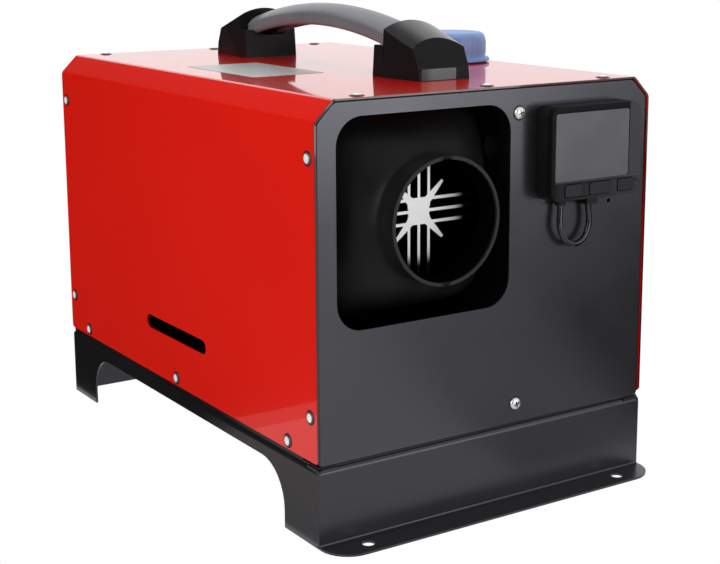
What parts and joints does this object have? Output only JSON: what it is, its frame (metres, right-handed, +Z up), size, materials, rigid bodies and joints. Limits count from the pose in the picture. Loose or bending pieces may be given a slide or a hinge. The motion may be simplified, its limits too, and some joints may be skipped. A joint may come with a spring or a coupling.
{
  "type": "diesel air heater",
  "caption": "Portable all-in-one diesel air heater: boxed steel case on a stand with outlet spigot, fuel tank under a screw cap, controller and carrying handle.",
  "frame": {"origin": "centre of the bounding box at the floor", "axes": "+X to the right seen from the outlet end, +Y from the outlet end to the back, +Z up"},
  "size_m": [0.2652, 0.4124, 0.3185],
  "materials": {
    "red_paint": "gloss",
    "satin_black_paint": "satin",
    "zinc_steel": "zinc plated",
    "grip_grey": "satin",
    "black_plastic": "satin",
    "bezel_black": "semi gloss",
    "screen_grey": "gloss",
    "board_green": "satin",
    "button_grey": "satin",
    "black_rubber": "matte",
    "cast_aluminium": "as cast",
    "heat_steel": "heat tinted",
    "fibre_gasket": "matte",
    "motor_steel": "satin",
    "fan_plastic": "satin",
    "brass": "plain",
    "tank_natural": "natural",
    "filter_clear": "translucent",
    "cap_blue": "satin"
  },
  "bodies": {
    "heater": {"case_cover": "red_paint", "front_panel": "satin_black_paint", "rear_panel": "satin_black_paint", "partition": "satin_black_paint", "base_stand": "satin_black_paint", "floor_plate": "satin_black_paint", "cover_rivets": "zinc_steel", "panel_screws": "zinc_steel", "handle_grip": "grip_grey", "handle_foot_front": "black_plastic", "handle_foot_rear": "black_plastic", "handle_bolts": "zinc_steel", "controller_cradle": "black_plastic", "controller_back": "black_plastic", "controller_bezel": "bezel_black", "controller_screen": "screen_grey", "controller_board": "board_green", "cable_relief": "black_rubber", "cable_grommet": "black_rubber", "controller_cable": "black_rubber", "outlet_hood": "black_plastic", "heater_shell_upper": "black_plastic", "heater_shell_lower": "black_plastic", "inlet_cowl": "black_plastic", "heat_exchanger": "cast_aluminium", "burner_tube": "heat_steel", "burner_gasket": "fibre_gasket", "glow_plug": "zinc_steel", "blower_housing": "cast_aluminium", "blower_motor": "motor_steel", "control_unit": "fan_plastic", "overheat_sensor": "brass", "mount_gasket": "fibre_gasket", "mount_studs": "zinc_steel", "heater_bracket": "satin_black_paint", "exhaust_pipe": "heat_steel", "air_pipe": "black_rubber", "pipe_clamps": "zinc_steel", "fuel_tank": "tank_natural", "neck_grommet": "black_rubber", "tank_strap": "zinc_steel", "tank_outlet": "brass", "fuel_filter": "filter_clear", "fuel_pump": "motor_steel", "pump_clamp": "black_rubber", "fuel_line_suction": "black_rubber", "fuel_line_feed": "black_rubber", "power_inlet": "black_rubber"},
    "fan_rotor": {"rotor_shaft": "heat_steel", "combustion_impeller": "cast_aluminium", "heating_fan": "fan_plastic"},
    "button_left": {"button_left": "button_grey"},
    "button_middle": {"button_middle": "button_grey"},
    "button_right": {"button_right": "button_grey"},
    "cap_seal": {"cap_gasket": "black_rubber"},
    "cap": {"fuel_cap": "cap_blue"}
  },
  "joints": [
    {"name": "fan_spin", "type": "hinge", "parent": "heater", "child": "fan_rotor", "pos_m": [-0.051, 0.11525, 0.198], "axis": [0, 1, 0], "continuous": true},
    {"name": "button_left_press", "type": "slide", "parent": "heater", "child": "button_left", "axis": [0, 1, 0], "range_m": [0, 0.0007], "stiffness_N_per_m": 400},
    {"name": "button_middle_press", "type": "slide", "parent": "heater", "child": "button_middle", "axis": [0, 1, 0], "range_m": [0, 0.0007], "stiffness_N_per_m": 400},
    {"name": "button_right_press", "type": "slide", "parent": "heater", "child": "button_right", "axis": [0, 1, 0], "range_m": [0, 0.0007], "stiffness_N_per_m": 400},
    {"name": "cap_lift", "type": "slide", "parent": "heater", "child": "cap_seal", "axis": [0, 0, 1], "range_m": [0, 0.006]},
    {"name": "cap_turn", "type": "hinge", "parent": "cap_seal", "child": "cap", "pos_m": [0.088, -0.01675, 0.285], "axis": [0, 0, 1], "range_deg": [0, 720]}
  ],
  "couplings": [
    {"joint": "cap_lift", "follows": "cap_turn", "m_per_rad": 0.00047746}
  ]
}
